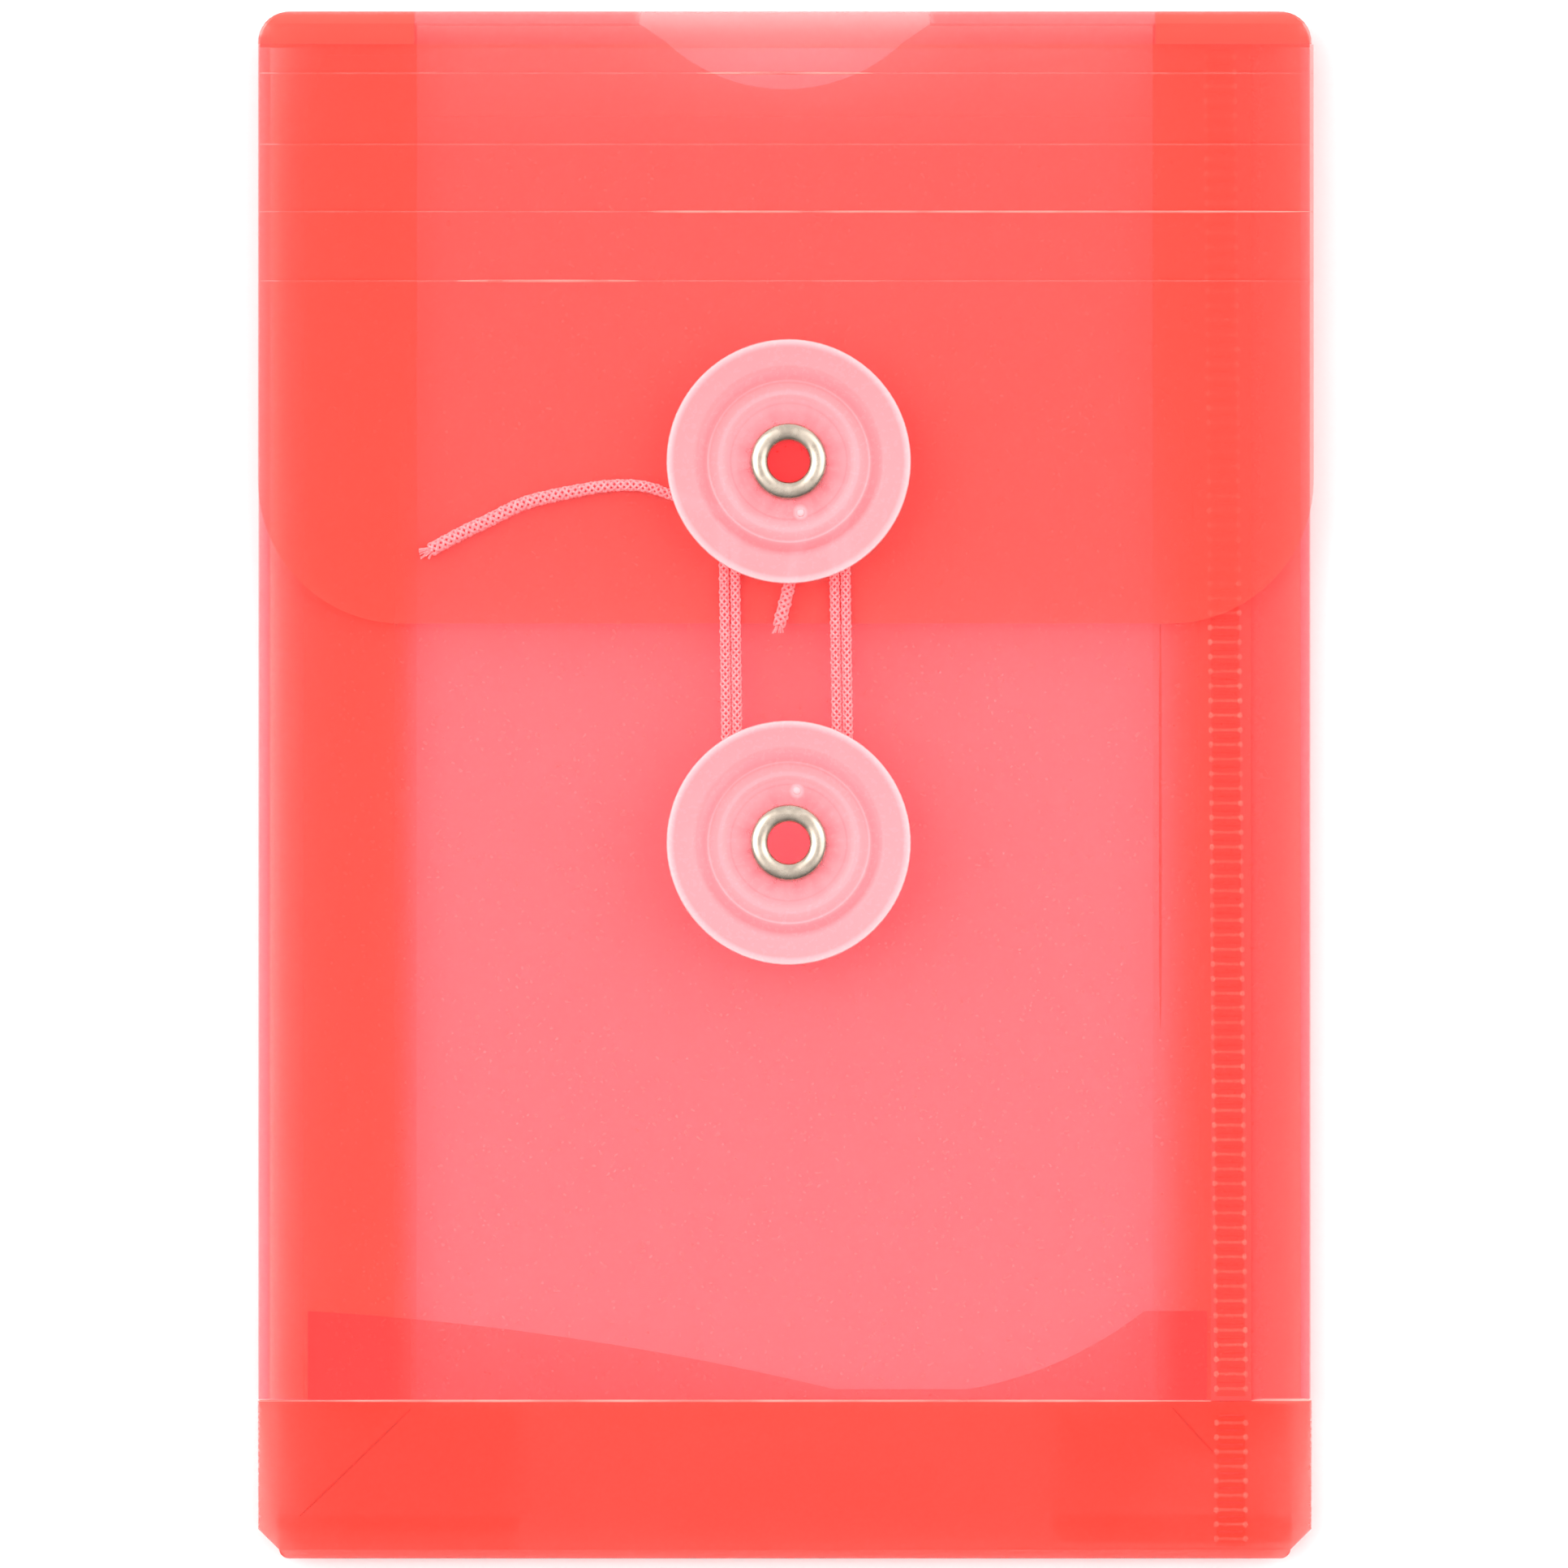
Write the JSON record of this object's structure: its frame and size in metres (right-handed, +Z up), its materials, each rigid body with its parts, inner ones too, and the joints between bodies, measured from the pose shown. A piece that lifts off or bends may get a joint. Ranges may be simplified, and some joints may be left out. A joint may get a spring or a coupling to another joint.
{
  "type": "string tie envelope",
  "caption": "Flat gusseted pocket of translucent red sheet plastic with a scored fold-over flap, held shut by a string wound round two riveted buttons.",
  "frame": {"origin": "middle of the envelope's outline, on the surface that its back lies on", "axes": "+X across the envelope to the lap seam's side, +Y from the bottom fold to the flap's fold, +Z up out of the front"},
  "size_m": [0.108, 0.1588, 0.0115],
  "materials": {
    "sheet": "translucent red polypropylene sheet with a fine matte face and glossy creases",
    "button": "milky clear moulded plastic, ringed",
    "eyelet": "bright nickel plate with a warm tint",
    "string": "pink braided cord, frayed at both ends"
  },
  "bodies": {
    "back": {"back_panel": "sheet", "left_rear_fold": "sheet", "right_rear_fold": "sheet", "top_fold": "sheet"},
    "left_gusset_rear_half": {"left_gusset_rear": "sheet", "left_inner_fold": "sheet"},
    "left_gusset_front_half": {"left_gusset_front": "sheet"},
    "front": {"front_panel": "sheet", "front_margin": "sheet", "side_weld": "sheet", "left_front_fold": "sheet", "right_front_fold": "sheet", "closure_tongue": "sheet", "lower_eyelet": "eyelet"},
    "right_gusset_rear_half": {"right_gusset_rear": "sheet", "right_inner_fold": "sheet"},
    "right_gusset_front_half": {"right_gusset_front": "sheet"},
    "bottom_rear": {"bottom_rear_band": "sheet", "bottom_fold": "sheet", "left_tuck": "sheet", "right_tuck": "sheet"},
    "bottom_front": {"bottom_front_band": "sheet", "closure_band": "sheet", "bottom_weld": "sheet"},
    "flap": {"flap_strip_1": "sheet", "flap_strip_2": "sheet", "flap_strip_3": "sheet", "flap_strip_4": "sheet", "flap_tongue": "sheet", "upper_eyelet": "eyelet", "string_winding": "string", "string_knot": "string", "string_long_tail": "string", "string_short_tail": "string"},
    "upper_disc": {"upper_button": "button"},
    "lower_disc": {"lower_button": "button"}
  },
  "joints": [
    {"name": "expand", "type": "hinge", "parent": "back", "child": "left_gusset_rear_half", "pos_m": [-0.05287, 0, 0.0011], "axis": [0, -1, 0], "range_deg": [0, 50], "deforming": ["left_rear_fold"]},
    {"name": "left_inner_hinge", "type": "hinge", "parent": "left_gusset_rear_half", "child": "left_gusset_front_half", "pos_m": [-0.03887, 0, 0.0029], "axis": [0, -1, 0], "range_deg": [-100.5, 0.5], "deforming": ["left_inner_fold"]},
    {"name": "left_front_hinge", "type": "hinge", "parent": "left_gusset_front_half", "child": "front", "pos_m": [-0.05287, 0, 0.0047], "axis": [0, -1, 0], "range_deg": [-0.5, 50.5], "deforming": ["left_front_fold"]},
    {"name": "right_rear_hinge", "type": "hinge", "parent": "back", "child": "right_gusset_rear_half", "pos_m": [0.05287, 0, 0.0011], "axis": [0, 1, 0], "range_deg": [-0.5, 50.5], "deforming": ["right_rear_fold"]},
    {"name": "right_inner_hinge", "type": "hinge", "parent": "right_gusset_rear_half", "child": "right_gusset_front_half", "pos_m": [0.03887, 0, 0.0029], "axis": [0, 1, 0], "range_deg": [-100.5, 0.5], "deforming": ["right_inner_fold", "right_front_fold"]},
    {"name": "bottom_rear_hinge", "type": "hinge", "parent": "back", "child": "bottom_rear", "pos_m": [0, -0.06317, 0.0004], "axis": [-1, 0, 0], "range_deg": [-0.5, 45.5], "deforming": ["bottom_fold"]},
    {"name": "bottom_front_hinge", "type": "hinge", "parent": "front", "child": "bottom_front", "pos_m": [0, -0.06317, 0.0054], "axis": [1, 0, 0], "range_deg": [-0.5, 45.5]},
    {"name": "flap_open", "type": "hinge", "parent": "front", "child": "flap", "pos_m": [0, 0.07583, 0.00355], "axis": [-1, 0, 0], "range_deg": [0, 175], "deforming": ["top_fold", "string_winding"]},
    {"name": "upper_button_turn", "type": "hinge", "parent": "flap", "child": "upper_disc", "pos_m": [0.0004, 0.03297, 0.0056], "axis": [0, 0, 1], "continuous": true},
    {"name": "lower_button_turn", "type": "hinge", "parent": "front", "child": "lower_disc", "pos_m": [0.0004, -0.00602, 0.0056], "axis": [0, 0, 1], "continuous": true}
  ],
  "couplings": [
    {"joint": "left_inner_hinge", "follows": "expand", "ratio": -2},
    {"joint": "left_front_hinge", "follows": "expand", "ratio": 1},
    {"joint": "right_rear_hinge", "follows": "expand", "ratio": 1},
    {"joint": "right_inner_hinge", "follows": "expand", "ratio": -2},
    {"joint": "bottom_rear_hinge", "follows": "expand", "ratio": 0.9},
    {"joint": "bottom_front_hinge", "follows": "expand", "ratio": 0.9}
  ]
}
